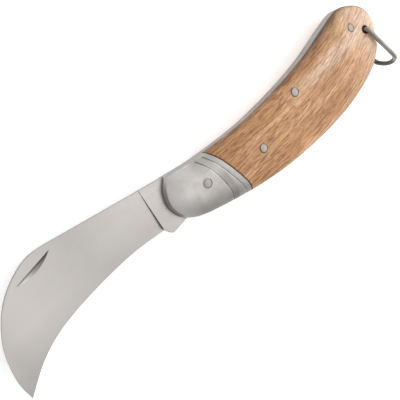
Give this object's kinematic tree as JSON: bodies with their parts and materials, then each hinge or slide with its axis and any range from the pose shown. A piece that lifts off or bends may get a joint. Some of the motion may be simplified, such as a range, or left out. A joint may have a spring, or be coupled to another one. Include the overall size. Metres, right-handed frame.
{
  "type": "budding knife",
  "caption": "Folding hawkbill budding knife: hooked blade and back spring between steel liners, domed bolsters, oak scales and a wire bail at the butt.",
  "frame": {"origin": "where the blade's pivot axis meets the plane that the knife lies on, on its pile side", "axes": "+X from the pivot to the butt along the knife, +Y towards the back spring, +Z along the pivot axis, up out of the mark side with the nail nick"},
  "size_m": [0.1874, 0.0375, 0.0128],
  "materials": {
    "blade_steel": "satin, flat ground",
    "bolster_steel": "satin, tumbled",
    "spring_steel": "satin, ground flush with the liners",
    "liner_steel": "satin",
    "rivet_steel": "bright, ground almost flush",
    "bail_wire": "drawn wire",
    "oak": "oiled, sanded smooth"
  },
  "bodies": {
    "handle": {"mark_liner": "liner_steel", "pile_liner": "liner_steel", "mark_bolster": "bolster_steel", "pile_bolster": "bolster_steel", "mark_scale": "oak", "pile_scale": "oak", "backspring": "spring_steel", "pivot_pin": "rivet_steel", "spring_rivet": "rivet_steel", "end_rivet": "rivet_steel", "mark_front_rivet": "rivet_steel", "pile_front_rivet": "rivet_steel"},
    "blade": {"blade": "blade_steel"},
    "bail": {"bail": "bail_wire"}
  },
  "joints": [
    {"name": "blade_fold", "type": "hinge", "parent": "handle", "child": "blade", "pos_m": [0, 0, 0.0064], "axis": [0, 0, 1], "range_deg": [0, 172], "deforming": ["backspring"]},
    {"name": "bail_swing", "type": "hinge", "parent": "handle", "child": "bail", "pos_m": [0.09457, 0.0021, 0.0064], "axis": [0, 0, 1], "range_deg": [-44, 194]}
  ]
}
